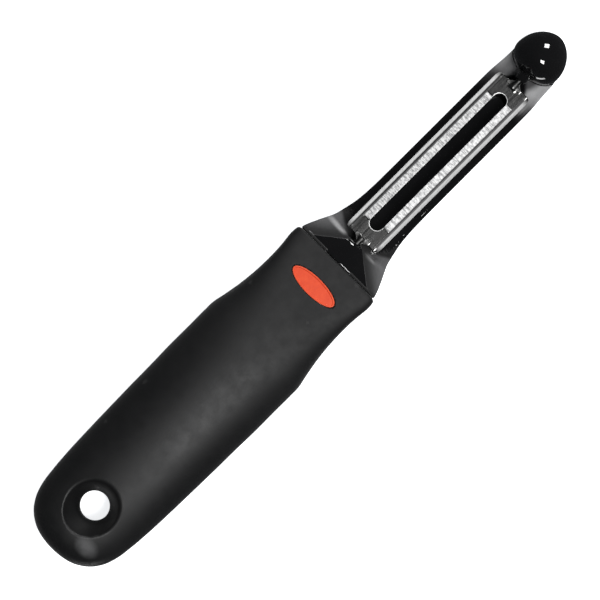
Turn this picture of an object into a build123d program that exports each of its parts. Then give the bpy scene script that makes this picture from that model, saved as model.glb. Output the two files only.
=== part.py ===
from build123d import *
import math
import os

# Swivel vegetable peeler, lying on its back with the blade up.
# X runs along the tool towards the tip, Y across it, Z up.
# The origin is under the middle of the tool, on the surface it lies on. Millimetres.

# ---------------------------------------------------------------- driving sizes
LENGTH = 190.5             # overall, butt of the grip to the tip of the knob
HALF = LENGTH / 2
GRIP_FRONT = 11.5          # plane where the soft grip ends and the glossy neck starts
GRIP_MID_Z = 9.7           # height of the grip's middle plane
HOLE_X = -79.1             # hanging hole
HOLE_R = 4.0
HOLE_LAND = 2.4            # straight wall of the hanging hole
FUNNEL_R = 7.55            # radius of the dish at the grip's surface
FUNNEL_Z = 7.35            # height of that rim over the middle plane

CREST_X = 18.5             # end wall of the neck, which carries the near pivot
FLOOR_Z = 4.75             # inner face of the bow under the blade
BOSS_Z = 14.6              # top of the neck at the near pivot

PIVOT_Z = 10.6             # blade pivot axis, parallel to X
PIN_R = 0.80               # rolled tangs of the blade
PIN_HOLE_R = 0.85
NEAR_PIN_X = 13.6          # blind ends of the tangs
FAR_PIN_X = 85.7
NEAR_HOLE_X = 13.3
FAR_HOLE_X = 86.0

KNOB_X = 86.6              # widest place of the knob
KNOB_Z = 10.6
KNOB_R = 7.22
KNOB_BACK = 5.2            # from the widest place back to the pivot face
KNOB_NOSE = HALF - KNOB_X  # from the widest place to the tip
COLLAR_X = 79.5            # free end of the collar that carries the far pivot

BLADE_X0, BLADE_X1 = 20.4, 77.9
BLADE_T = 0.7              # sheet thickness
BLADE_HALF_W = 5.8
FOLD_Y = 4.45              # where the side flanges fold down
FLANGE_DROP = 1.5          # lowest edge of a flange under the pivot axis
PLATE_Z = 0.0              # middle of the sheet, from the pivot axis
SLOT_X0, SLOT_X1 = 24.4, 74.0
SLOT_HALF_W = 1.93
LIP_OUT_Y = 4.1            # ground lips, raised from the plate towards the slot
LIP_RISE = 0.62
LIPS = ((25.4, 71.6, 1), (26.6, 72.8, -1))

BADGE_X = 2.65
BADGE_LEN, BADGE_WID = 14.7, 5.0
BADGE_DEEP = 2.2

CORE_HALF_Z = 4.0
CORE_HALF_Y = 9.3
SOCKET_HALF_Y, SOCKET_HALF_Z = 7.1, 2.6
TANG_HALF_Y, TANG_HALF_Z = 7.0, 2.5
TANG_END = -22.0

# ---------------------------------------------------------------- profile tables
# Half width of the grip seen from above.
GRIP_W = [(-94.33, 5.81), (-93.27, 8.13), (-92.21, 9.68), (-91.16, 10.82), (-90.1, 11.69),
          (-89.04, 12.39), (-87.99, 12.95), (-86.93, 13.38), (-85.0, 13.95), (-82.7, 14.39),
          (-79.0, 14.80), (-76.0, 15.03), (-71.0, 15.31), (-60.5, 15.63), (-50.0, 15.86),
          (-39.0, 16.02), (-30.0, 16.08), (-22.0, 16.09), (-19.3, 16.05), (-18.2, 15.91),
          (-17.1, 15.68), (-15.0, 15.22), (-12.9, 14.84), (-10.8, 14.48), (-8.7, 14.20),
          (-6.6, 13.99), (-4.5, 13.83), (-2.3, 13.74), (0.8, 13.69), (2.9, 13.75),
          (5.0, 13.89), (7.1, 14.13), (8.6, 14.25), (9.9, 14.20), (10.8, 14.02), (11.5, 13.76)]
# Half thickness of the grip seen from the side.
GRIP_H = [(-94.33, 3.25), (-93.27, 4.45), (-92.21, 5.2), (-90.1, 6.1), (-87.99, 6.65),
          (-85.0, 7.05), (-79.0, 7.55), (-71.0, 8.2), (-60.5, 8.85), (-48.0, 9.4),
          (-34.0, 9.7), (-24.0, 9.62), (-14.0, 9.1), (-6.0, 8.45), (0.8, 7.9),
          (6.0, 7.55), (9.0, 7.45), (10.6, 7.4), (11.5, 7.2)]
# Squareness of the grip's section: 2 is an ellipse, 12 nearly a rectangle.
GRIP_N = [(-94.33, 2.1), (-60.0, 2.1), (-30.0, 2.15), (-16.0, 2.6), (-8.0, 3.4),
          (-2.0, 4.6), (4.0, 6.4), (9.0, 7.8), (11.5, 8.0)]

# Neck and bow: half width, lowest line, height of the widest line.
HEAD_W = [(11.5, 13.55), (12.5, 13.3), (13.5, 12.93), (14.6, 12.48), (15.6, 12.0),
          (16.7, 11.5), (17.7, 11.0), (18.5, 10.63), (19.9, 10.05), (20.9, 9.68),
          (22.0, 9.32), (23.0, 9.03), (24.1, 8.78), (26.2, 8.42), (28.3, 8.14),
          (31.5, 7.88), (35.0, 7.76), (45.0, 7.68), (60.0, 7.65), (72.0, 7.64),
          (77.0, 7.5), (80.0, 7.15), (82.0, 6.9), (83.0, 6.85), (84.0, 6.8), (85.0, 6.6),
          (86.0, 6.0), (87.0, 5.0)]
HEAD_LOW = [(11.5, 2.7), (15.0, 2.0), (18.5, 1.55), (25.0, 1.1), (35.0, 0.8), (50.0, 0.5),
            (65.0, 0.25), (78.0, 0.12), (80.0, 0.2), (82.0, 0.65), (84.0, 1.7),
            (86.0, 3.9), (87.0, 5.4)]
HEAD_WIDE_Z = [(11.5, 9.7), (12.5, 9.4), (14.0, 8.1), (15.5, 6.3), (17.0, 4.9), (18.5, 4.0),
               (20.5, 3.5), (25.0, 3.2), (35.0, 3.0), (77.0, 2.8), (79.0, 3.1), (81.0, 4.2),
               (83.0, 5.9), (85.0, 7.7), (87.0, 8.8)]
# Inner face of the bow: flat under the blade, then a ramp up to the knob.
BOW_TOP = [(13.0, FLOOR_Z), (78.2, FLOOR_Z), (79.2, 5.05), (80.2, 5.55), (81.2, 6.25),
           (82.4, 7.3), (84.0, 8.9), (86.0, 10.2), (87.0, 10.7)]


def curve(table, x):
    """Smooth value of a table at x, with no overshoot between its rows."""
    xs = [p[0] for p in table]
    ys = [p[1] for p in table]
    n = len(xs)
    if x <= xs[0]:
        return ys[0]
    if x >= xs[-1]:
        return ys[-1]
    h = [xs[i + 1] - xs[i] for i in range(n - 1)]
    d = [(ys[i + 1] - ys[i]) / h[i] for i in range(n - 1)]
    m = [d[0]]
    for i in range(1, n - 1):
        if d[i - 1] * d[i] <= 0:
            m.append(0.0)
        else:
            a, b = 2 * h[i] + h[i - 1], h[i] + 2 * h[i - 1]
            m.append((a + b) / (a / d[i - 1] + b / d[i]))
    m.append(d[-1])
    i = max(k for k in range(n - 1) if xs[k] <= x)
    t = (x - xs[i]) / h[i]
    return (
        (1 + 2 * t) * (1 - t) ** 2 * ys[i]
        + t * (1 - t) ** 2 * h[i] * m[i]
        + t * t * (3 - 2 * t) * ys[i + 1]
        + t * t * (t - 1) * h[i] * m[i + 1]
    )


def from_bottom(points):
    """The same loop, started at its lowest point, so that the seam of a lofted skin
    runs along the underside."""
    k = min(range(len(points)), key=lambda i: (round(points[i][1], 6), abs(points[i][0])))
    return points[k:] + points[:k]


def mix(a, b, t):
    return a + (b - a) * t


def ease(t):
    t = min(1.0, max(0.0, t))
    return t * t * (3 - 2 * t)


def grip_half(x):
    """Half width and half thickness of the grip at x, with a round butt."""
    if x < -94.33:
        f = math.sqrt(max(0.0, (x + HALF) / (HALF - 94.33)))
        return 5.81 * f, 3.25 * f
    return curve(GRIP_W, x), curve(GRIP_H, x)


def grip_points(x, count=44):
    """Points round the grip's section, in its own Y and Z."""
    a, b = grip_half(x)
    e = 2.0 / curve(GRIP_N, x)
    points = []
    for i in range(count):
        t = 2 * math.pi * i / count
        c, s = math.cos(t), math.sin(t)
        # an even spread of points, also on the square sections
        k = (abs(c) ** (2 / e) + abs(s) ** (2 / e)) ** (-e / 2)
        points.append((a * k * c, GRIP_MID_Z + b * k * s))
    return points


def under(x, count=15):
    """Lower half of a head section, from +Y round the bottom to -Y."""
    w, low, wide = curve(HEAD_W, x), curve(HEAD_LOW, x), curve(HEAD_WIDE_Z, x)
    n = mix(5.5, 2.35, ease((x - GRIP_FRONT) / 9))
    points = []
    for i in range(count):
        t = math.pi * i / (count - 1)
        c, s = math.cos(t), math.sin(t)
        k = (abs(c) ** n + abs(s) ** n) ** (-1 / n)
        points.append((w * k * c, wide - (wide - low) * k * s))
    return points


def neck_top_z(x):
    """Height of the flat top facet of the neck."""
    t = (x - GRIP_FRONT) / (CREST_X - GRIP_FRONT)
    return mix(16.7, BOSS_Z, t)


def flank(t, v):
    """How far a flank of the neck has spread, 0 to 1, at depth v under the facet: round at
    the grip (t = 0), like a cone at the pivot (t = 1)."""
    v = min(1.0, max(0.0, v))
    round_off = (1 - (1 - v) ** 2.3) ** (1 / 2.3)
    cone = (-0.32 + math.sqrt(0.1024 + 2.72 * v)) / 1.36
    return mix(round_off, cone, ease(1.25 * t))


def flank_depth(t, spread):
    """The depth v at which a flank has the given spread."""
    lo, hi = 0.0, 1.0
    for _ in range(50):
        mid = (lo + hi) / 2
        if flank(t, mid) < spread:
            lo = mid
        else:
            hi = mid
    return (lo + hi) / 2


def neck_over(x):
    """Upper half of a neck section, from -Y over the top to +Y: a flat facet, and flanks
    that fall from the grip's square corners to the edges of the bow."""
    w, wide, top = curve(HEAD_W, x), curve(HEAD_WIDE_Z, x), neck_top_z(x)
    t = (x - GRIP_FRONT) / (CREST_X - GRIP_FRONT)
    facet = mix(11.1, 2.15, 0.22 * t * t + 0.78 * t)
    outer = w + 0.9 * ease(t)
    base = mix(wide + 1.0, FLOOR_Z - 1.2, ease(t))
    reach = (w - 0.22 - facet) / (outer - facet)
    side = [(facet * q, top) for q in (0.0, 0.35, 0.7, 0.93)]
    for u in (0.09, 0.2, 0.33, 0.47, 0.61, 0.75, 0.88, 1.0):
        v = flank_depth(t, u * reach)
        side.append((facet + (outer - facet) * u * reach, top - (top - base) * v))
    z_edge = side[-1][1]
    side.append((w - 0.03, wide + (z_edge - wide) * 0.62))
    side.append((w, wide + (z_edge - wide) * 0.25))
    side.append((w, wide))
    return [(-y, z) for y, z in reversed(side)] + side[1:]


def bow_points(x):
    """Points round a section of the bow: a flat inner face, rounded edges and a full
    back. Inside the neck it draws in, so that it leaves the end wall as one body."""
    inset = 0.06 + 1.6 * max(0.0, (CREST_X - x) / 5.5) if x < CREST_X + 0.01 else 0.0
    w, low = curve(HEAD_W, max(x, CREST_X)) - inset, curve(HEAD_LOW, max(x, CREST_X)) + inset
    wide, top = curve(HEAD_WIDE_Z, max(x, CREST_X)), curve(BOW_TOP, x) - min(inset, 0.3)
    edge = min(1.35, 0.4 * w)
    points = []
    for i in range(15):
        t = math.pi * i / 14
        c, s = math.cos(t), math.sin(t)
        k = (abs(c) ** 2.35 + abs(s) ** 2.35) ** (-1 / 2.35)
        points.append((w * k * c, wide - (wide - low) * k * s))
    for a in (30, 60):
        c, s = math.cos(math.radians(a)), math.sin(math.radians(a))
        points.append((-w + edge * (1 - c), wide + (top - wide) * s))
    for q in (-1.0, -0.6, -0.2, 0.2, 0.6, 1.0):
        points.append(((w - edge) * q, top))
    for a in (60, 30):
        c, s = math.cos(math.radians(a)), math.sin(math.radians(a))
        points.append((w - edge * (1 - c), wide + (top - wide) * s))
    return points


# ---------------------------------------------------------------- handle core
# Hard ribbed beam moulded first; the soft grip is moulded over it.
with BuildPart() as handle_core:
    with BuildSketch(Plane.XY.offset(GRIP_MID_Z - CORE_HALF_Z)):
        with BuildLine():
            Polyline((-68, -CORE_HALF_Y), (-18, -CORE_HALF_Y), (GRIP_FRONT, -8.6),
                     (GRIP_FRONT, 8.6), (-18, CORE_HALF_Y), (-68, CORE_HALF_Y), close=True)
        make_face()
    extrude(amount=2 * CORE_HALF_Z)
    # pockets above and below a central web, with cross ribs between them
    with BuildSketch(Plane.XY.offset(GRIP_MID_Z + 1.3)):
        for x0, x1 in ((-65.5, -53.5), (-51.5, -39.5), (-37.5, -27.5)):
            with Locations(((x0 + x1) / 2, 0)):
                RectangleRounded(x1 - x0, 2 * CORE_HALF_Y - 5, 1.2)
    extrude(amount=CORE_HALF_Z, mode=Mode.SUBTRACT)
    with BuildSketch(Plane.XY.offset(GRIP_MID_Z - 1.3)):
        for x0, x1 in ((-65.5, -53.5), (-51.5, -39.5), (-37.5, -27.5)):
            with Locations(((x0 + x1) / 2, 0)):
                RectangleRounded(x1 - x0, 2 * CORE_HALF_Y - 5, 1.2)
    extrude(amount=-CORE_HALF_Z, mode=Mode.SUBTRACT)
    # windows that the grip material flows through and locks in
    with BuildSketch(Plane.XY.offset(GRIP_MID_Z)):
        with Locations((-59.5, 0), (-45.5, 0), (-32.5, 0)):
            Circle(2.6)
    extrude(amount=CORE_HALF_Z, both=True, mode=Mode.SUBTRACT)
    # ring round the hanging hole, and the plate that joins it to the beam
    with BuildSketch(Plane.XY.offset(GRIP_MID_Z)):
        with BuildLine():
            Polyline((-79, -6.0), (-67, -8.0), (-67, 8.0), (-79, 6.0), close=True)
        make_face()
        with Locations((HOLE_X, 0)):
            Circle(9.4)
            Circle(6.4, mode=Mode.SUBTRACT)
    extrude(amount=2.2, both=True)
    # socket for the head frame's tang, with a relief for its barbs
    with BuildSketch(Plane.XY.offset(GRIP_MID_Z)):
        with BuildLine():
            Polyline((GRIP_FRONT, -SOCKET_HALF_Y), (-19.6, -SOCKET_HALF_Y), (-19.6, -7.75),
                     (-23.0, -7.75), (-23.0, 7.75), (-19.6, 7.75), (-19.6, SOCKET_HALF_Y),
                     (GRIP_FRONT, SOCKET_HALF_Y), close=True)
        make_face()
    extrude(amount=SOCKET_HALF_Z, both=True, mode=Mode.SUBTRACT)
    # seat for the badge's peg
    with BuildSketch(Plane.XY.offset(GRIP_MID_Z + CORE_HALF_Z)):
        with Locations((BADGE_X, 4.0), (BADGE_X, -4.0)):
            Circle(0.85)
    extrude(amount=-1.4, mode=Mode.SUBTRACT)
handle_core.part.label = "handle_core"

# ---------------------------------------------------------------- soft grip
GRIP_STATIONS = [-95.17, -94.95, -94.33, -93.27, -91.6, -89.0, -85.5, -79.0, -71.0, -60.5,
                 -48.0, -36.0, -26.0, -20.5, -17.6, -14.5, -10.8, -6.0, -1.0, 3.5, 7.2,
                 9.6, 10.8, GRIP_FRONT]
with BuildPart() as grip_outer:
    for station in GRIP_STATIONS:
        with BuildSketch(Plane.YZ.offset(station)):
            with BuildLine():
                Spline(*from_bottom(grip_points(station)), periodic=True)
            make_face()
    loft()

with BuildPart() as badge:
    with BuildSketch(Plane.XY.offset(GRIP_MID_Z)):
        with Locations((BADGE_X, 0)):
            Ellipse(BADGE_WID / 2, BADGE_LEN / 2)
    extrude(amount=12)
    add(grip_outer.part, mode=Mode.INTERSECT)
    badge_floor = GRIP_MID_Z + curve(GRIP_H, BADGE_X) - BADGE_DEEP
    split(bisect_by=Plane.XY.offset(badge_floor), keep=Keep.TOP)
    with BuildSketch(Plane.XY.offset(badge_floor)):
        with Locations((BADGE_X, 4.0), (BADGE_X, -4.0)):
            Circle(0.8)
    extrude(amount=-(badge_floor - (GRIP_MID_Z + CORE_HALF_Z - 1.2)))
badge.part.label = "badge"

with BuildPart() as grip:
    add(grip_outer.part)
    # hanging hole: a straight land between two dished mouths
    with BuildSketch(Plane.XZ):
        with BuildLine():
            Polyline((HOLE_X, GRIP_MID_Z - 14), (HOLE_X + FUNNEL_R + 3.4, GRIP_MID_Z - 14),
                     (HOLE_X + FUNNEL_R, GRIP_MID_Z - FUNNEL_Z),
                     (HOLE_X + HOLE_R, GRIP_MID_Z - HOLE_LAND / 2),
                     (HOLE_X + HOLE_R, GRIP_MID_Z + HOLE_LAND / 2),
                     (HOLE_X + FUNNEL_R, GRIP_MID_Z + FUNNEL_Z),
                     (HOLE_X + FUNNEL_R + 3.4, GRIP_MID_Z + 14), (HOLE_X, GRIP_MID_Z + 14),
                     close=True)
        make_face()
    revolve(axis=Axis((HOLE_X, 0, 0), (0, 0, 1)), mode=Mode.SUBTRACT)
    add(handle_core.part, mode=Mode.SUBTRACT)
    # room for the tang inside the core's socket
    with BuildSketch(Plane.XY.offset(GRIP_MID_Z)):
        with BuildLine():
            Polyline((GRIP_FRONT, -SOCKET_HALF_Y), (-19.6, -SOCKET_HALF_Y), (-19.6, -7.75),
                     (-23.0, -7.75), (-23.0, 7.75), (-19.6, 7.75), (-19.6, SOCKET_HALF_Y),
                     (GRIP_FRONT, SOCKET_HALF_Y), close=True)
        make_face()
    extrude(amount=SOCKET_HALF_Z, both=True, mode=Mode.SUBTRACT)
    # recess for the badge
    with BuildSketch(Plane.XY.offset(badge_floor)):
        with Locations((BADGE_X, 0)):
            Ellipse(BADGE_WID / 2, BADGE_LEN / 2)
    extrude(amount=6, mode=Mode.SUBTRACT)
    with BuildSketch(Plane.XY.offset(badge_floor)):
        with Locations((BADGE_X, 4.0), (BADGE_X, -4.0)):
            Circle(0.85)
    extrude(amount=-(badge_floor - (GRIP_MID_Z + CORE_HALF_Z)) - 1.4, mode=Mode.SUBTRACT)
grip.part.label = "grip"

# ---------------------------------------------------------------- head frame
# One glossy moulding: neck, bow behind the blade, knob at the tip, and a tang in the handle.
with BuildPart() as neck:
    for station in (GRIP_FRONT, 12.1, 13.2, 14.6, 16.0, 17.3, CREST_X):
        with BuildSketch(Plane.YZ.offset(station)):
            with BuildLine():
                Spline(*from_bottom(under(station)[:-1] + neck_over(station)[:-1]), periodic=True)
            make_face()
    loft()

with BuildPart() as bow:
    for station in (13.0, 16.0, CREST_X, 19.9, 22.0, 24.6, 28.3, 35.0, 48.0, 62.0, 73.0, 77.6,
                    79.2, 80.6, 82.0, 83.5, 85.2, 87.0):
        with BuildSketch(Plane.YZ.offset(station)):
            with BuildLine():
                Spline(*from_bottom(bow_points(station)), periodic=True)
            make_face()
    loft()

with BuildPart() as head_frame:
    add(neck.part)
    add(bow.part)
    # knob: an egg of revolution on an axis parallel to X
    with BuildSketch(Plane.XZ):
        with BuildLine():
            egg = [(KNOB_X - KNOB_BACK, KNOB_Z)]
            for i in range(1, 9):
                a = math.pi / 2 * i / 9
                egg.append((KNOB_X - KNOB_BACK * math.cos(a), KNOB_Z + KNOB_R * math.sin(a)))
            egg.append((KNOB_X, KNOB_Z + KNOB_R))
            for i in range(1, 12):
                a = math.pi / 2 * i / 12
                egg.append((KNOB_X + KNOB_NOSE * math.sin(a), KNOB_Z + KNOB_R * math.cos(a) ** 1.12))
            egg.append((KNOB_X + KNOB_NOSE, KNOB_Z))
            Spline(*egg, tangents=((0, 1), (0, -1)))
            Line((KNOB_X + KNOB_NOSE, KNOB_Z), (KNOB_X - KNOB_BACK, KNOB_Z))
        make_face()
    revolve(axis=Axis((0, 0, KNOB_Z), (1, 0, 0)))
    # collar on the knob's back, round the far pivot
    with BuildSketch(Plane.XZ):
        with BuildLine():
            Polyline((COLLAR_X, PIVOT_Z), (COLLAR_X, PIVOT_Z + 1.3), (COLLAR_X + 0.25, PIVOT_Z + 1.5),
                     (82.6, PIVOT_Z + 2.2), (82.6, PIVOT_Z), close=True)
        make_face()
    revolve(axis=Axis((0, 0, PIVOT_Z), (1, 0, 0)))
    # tang in the handle, with a spring slot and two barbs
    with BuildSketch(Plane.XY.offset(GRIP_MID_Z)):
        with BuildLine():
            Polyline((GRIP_FRONT + 0.5, -TANG_HALF_Y), (-20.0, -TANG_HALF_Y), (-20.0, -7.5),
                     (TANG_END, -6.4), (TANG_END, 6.4), (-20.0, 7.5), (-20.0, TANG_HALF_Y),
                     (GRIP_FRONT + 0.5, TANG_HALF_Y), close=True)
        make_face()
        with Locations((-14.0, 0)):
            Rectangle(20.0, 4.0, mode=Mode.SUBTRACT)
    extrude(amount=TANG_HALF_Z, both=True)
    # pivot holes, blind, on one axis
    with BuildSketch(Plane.YZ.offset(NEAR_HOLE_X)):
        with Locations((0, PIVOT_Z)):
            Circle(PIN_HOLE_R)
    extrude(amount=CREST_X - NEAR_HOLE_X + 1, mode=Mode.SUBTRACT)
    with BuildSketch(Plane.YZ.offset(FAR_HOLE_X)):
        with Locations((0, PIVOT_Z)):
            Circle(PIN_HOLE_R)
    extrude(amount=-(FAR_HOLE_X - COLLAR_X + 1), mode=Mode.SUBTRACT)
head_frame.part.label = "head_frame"

# ---------------------------------------------------------------- blade
# Stamped and ground sheet: plate, two folded flanges, two raised ground lips, rolled tangs.
HALF_T = BLADE_T / 2
with BuildPart() as blade:
    with BuildSketch(Plane.YZ.offset(BLADE_X0)):
        with BuildLine():
            outer = [(-BLADE_HALF_W, -FLANGE_DROP), (-BLADE_HALF_W + 0.1, -FLANGE_DROP + 0.62),
                     (-FOLD_Y - 0.3, PLATE_Z + HALF_T - 0.12), (-FOLD_Y + 0.35, PLATE_Z + HALF_T)]
            inner = [(-FOLD_Y + 0.45, PLATE_Z - HALF_T), (-FOLD_Y - 0.02, PLATE_Z - HALF_T - 0.18),
                     (-BLADE_HALF_W + 0.72, -FLANGE_DROP + 0.42), (-BLADE_HALF_W + 0.55, -FLANGE_DROP)]
            loop = outer + [(-y, z) for y, z in reversed(outer)]
            loop += [(-y, z) for y, z in reversed(inner)] + inner
            Polyline(*[(y, z + PIVOT_Z) for y, z in loop], close=True)
        make_face()
    extrude(amount=BLADE_X1 - BLADE_X0)
    # rounded corners in plan
    with BuildSketch(Plane.XY.offset(PIVOT_Z - 4)):
        with Locations(((BLADE_X0 + BLADE_X1) / 2, 0)):
            RectangleRounded(BLADE_X1 - BLADE_X0, 2 * BLADE_HALF_W + 0.02, 1.9)
    extrude(amount=8, mode=Mode.INTERSECT)
    # slot for the peel
    with BuildSketch(Plane.XY.offset(PIVOT_Z - 4)):
        with Locations(((SLOT_X0 + SLOT_X1) / 2, 0)):
            SlotOverall(SLOT_X1 - SLOT_X0, 2 * SLOT_HALF_W)
    extrude(amount=8, mode=Mode.SUBTRACT)
    # clear the plate under the lips, then add the lips, which rise to a knife edge at the slot
    for x0, x1, side in LIPS:
        with BuildSketch(Plane.YZ.offset(x0)):
            with BuildLine():
                Polyline((side * (SLOT_HALF_W - 0.5), PIVOT_Z - 1), (side * LIP_OUT_Y, PIVOT_Z - 1),
                         (side * LIP_OUT_Y, PIVOT_Z + 1), (side * (SLOT_HALF_W - 0.5), PIVOT_Z + 1),
                         close=True)
            make_face()
        extrude(amount=x1 - x0, mode=Mode.SUBTRACT)
        with BuildSketch(Plane.YZ.offset(x0)):
            with BuildLine():
                Polyline((side * (LIP_OUT_Y + 0.05), PIVOT_Z + PLATE_Z - HALF_T),
                         (side * (LIP_OUT_Y + 0.05), PIVOT_Z + PLATE_Z + HALF_T),
                         (side * (LIP_OUT_Y - 0.2), PIVOT_Z + PLATE_Z + HALF_T + 0.06),
                         (side * SLOT_HALF_W, PIVOT_Z + PLATE_Z + HALF_T + LIP_RISE),
                         (side * (SLOT_HALF_W + 0.06), PIVOT_Z + PLATE_Z + HALF_T + LIP_RISE - 0.16),
                         (side * (SLOT_HALF_W + 0.9), PIVOT_Z + PLATE_Z + HALF_T - 0.25), close=True)
            make_face()
        extrude(amount=x1 - x0)
    # rolled tangs
    with BuildSketch(Plane.YZ.offset(NEAR_PIN_X)):
        with Locations((0, PIVOT_Z)):
            Circle(PIN_R)
    extrude(amount=BLADE_X0 + 1.6 - NEAR_PIN_X)
    with BuildSketch(Plane.YZ.offset(FAR_PIN_X)):
        with Locations((0, PIVOT_Z)):
            Circle(PIN_R)
    extrude(amount=-(FAR_PIN_X - BLADE_X1 + 1.6))
    # web between each tang and the plate
    with BuildSketch(Plane.XY.offset(PIVOT_Z + PLATE_Z)):
        with BuildLine():
            Polyline((BLADE_X0 - 1.0, -PIN_R), (BLADE_X0 + 0.5, -2.0), (BLADE_X0 + 0.5, 2.0),
                     (BLADE_X0 - 1.0, PIN_R), close=True)
        make_face()
        with BuildLine():
            Polyline((BLADE_X1 + 1.0, -PIN_R), (BLADE_X1 - 0.5, -2.0), (BLADE_X1 - 0.5, 2.0),
                     (BLADE_X1 + 1.0, PIN_R), close=True)
        make_face()
    extrude(amount=HALF_T, both=True)
blade.part.label = "blade"

# ---------------------------------------------------------------- write the pieces
os.makedirs("parts", exist_ok=True)
export_step(handle_core.part, "parts/handle_core.step")
export_step(grip.part, "parts/grip.step")
export_step(badge.part, "parts/badge.step")
export_step(head_frame.part, "parts/head_frame.step")
export_step(blade.part, "parts/blade.step")
for piece in (handle_core, grip, badge, head_frame, blade):
    box = piece.part.bounding_box()
    print(piece.part.label, "solids", len(piece.part.solids()), "valid", piece.part.is_valid, "volume", round(piece.part.volume, 1),
          "x", round(box.min.X, 2), round(box.max.X, 2), "y", round(box.max.Y, 2),
          "z", round(box.min.Z, 2), round(box.max.Z, 2))
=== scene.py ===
import math

import bpy
import numpy as np
from mathutils import Matrix, Vector


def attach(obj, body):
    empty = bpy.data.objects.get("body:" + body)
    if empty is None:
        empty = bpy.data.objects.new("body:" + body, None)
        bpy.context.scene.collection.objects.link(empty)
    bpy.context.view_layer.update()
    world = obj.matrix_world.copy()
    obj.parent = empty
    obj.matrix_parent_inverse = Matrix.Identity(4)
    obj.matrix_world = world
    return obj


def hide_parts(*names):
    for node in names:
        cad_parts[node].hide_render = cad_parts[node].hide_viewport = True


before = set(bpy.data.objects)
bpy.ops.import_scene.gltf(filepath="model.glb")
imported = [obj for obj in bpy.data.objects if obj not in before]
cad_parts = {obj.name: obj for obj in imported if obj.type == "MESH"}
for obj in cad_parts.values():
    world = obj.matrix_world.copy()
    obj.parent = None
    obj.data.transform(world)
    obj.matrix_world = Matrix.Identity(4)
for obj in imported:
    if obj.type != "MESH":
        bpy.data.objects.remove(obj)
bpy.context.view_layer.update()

# ------------------------------------------------------------------ sizes, mm
# The same sizes as the CAD. X to the tip, Z up, out of the blade's face.
HALF = 95.25
GRIP_FRONT = 11.5
MID = 9.7
HOLE_X, HOLE_R = -79.1, 4.0
CREST_X = 18.5
FLOOR = 4.75
BOSS = 14.6
PIVOT = 10.6
KNOB_X, KNOB_Z, KNOB_R, KNOB_BACK = 86.6, 10.6, 7.22, 5.2
KNOB_NOSE = HALF - KNOB_X
KNOB_Y = 0.33            # the knob of the real tool sits a little to its left
COLLAR_X = 79.5

GRIP_W = [(-94.33, 5.81), (-93.27, 8.13), (-92.21, 9.68), (-91.16, 10.82), (-90.1, 11.69),
          (-89.04, 12.39), (-87.99, 12.95), (-86.93, 13.38), (-85.0, 13.95), (-82.7, 14.39),
          (-79.0, 14.80), (-76.0, 15.03), (-71.0, 15.31), (-60.5, 15.63), (-50.0, 15.86),
          (-39.0, 16.02), (-30.0, 16.08), (-22.0, 16.09), (-19.3, 16.05), (-18.2, 15.91),
          (-17.1, 15.68), (-15.0, 15.22), (-12.9, 14.84), (-10.8, 14.48), (-8.7, 14.20),
          (-6.6, 13.99), (-4.5, 13.83), (-2.3, 13.74), (0.8, 13.69), (2.9, 13.75),
          (5.0, 13.89), (7.1, 14.13), (8.6, 14.25), (9.9, 14.20), (10.8, 14.02), (11.5, 13.76)]
GRIP_H = [(-94.33, 3.5), (-93.27, 4.9), (-92.21, 5.75), (-90.1, 6.7), (-87.99, 7.15),
          (-85.0, 7.4), (-79.0, 7.7), (-71.0, 8.25), (-60.5, 8.85), (-48.0, 9.4),
          (-34.0, 9.7), (-24.0, 9.62), (-14.0, 9.1), (-6.0, 8.45), (0.8, 7.9),
          (6.0, 7.55), (9.0, 7.45), (10.6, 7.4), (11.5, 7.2)]
GRIP_N = [(-94.33, 2.1), (-60.0, 2.1), (-30.0, 2.15), (-16.0, 2.6), (-8.0, 3.4),
          (-2.0, 4.6), (4.0, 6.4), (9.0, 7.8), (11.5, 8.0)]
HEAD_W = [(11.5, 13.55), (12.5, 13.3), (13.5, 12.93), (14.6, 12.48), (15.6, 12.0),
          (16.7, 11.5), (17.7, 11.0), (18.5, 10.63), (19.9, 10.05), (20.9, 9.68),
          (22.0, 9.32), (23.0, 9.03), (24.1, 8.78), (26.2, 8.42), (28.3, 8.14),
          (31.5, 7.88), (35.0, 7.76), (45.0, 7.68), (60.0, 7.65), (72.0, 7.64),
          (77.0, 7.58), (80.0, 7.34), (82.0, 7.15), (83.5, 7.07), (85.0, 7.0), (86.2, 6.6),
          (87.5, 5.6)]
HEAD_LOW = [(11.5, 2.7), (15.0, 2.0), (18.5, 1.55), (25.0, 1.1), (35.0, 0.8), (50.0, 0.5),
            (65.0, 0.25), (78.0, 0.12), (80.0, 0.2), (82.0, 0.65), (84.0, 1.7),
            (86.0, 3.9), (87.5, 6.2)]
HEAD_WIDE_Z = [(11.5, 9.7), (12.5, 9.4), (14.0, 8.1), (15.5, 6.3), (17.0, 4.9), (18.5, 4.0),
               (20.5, 3.5), (25.0, 3.2), (35.0, 3.0), (77.0, 2.8), (79.0, 3.1), (81.0, 4.2),
               (83.0, 5.9), (85.0, 7.7), (87.5, 9.1)]
BOW_TOP = [(13.0, FLOOR), (78.0, FLOOR), (79.0, 4.88), (80.0, 5.3), (81.2, 6.2),
           (82.4, 7.3), (84.0, 8.9), (86.0, 10.2), (87.5, 10.9)]


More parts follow.
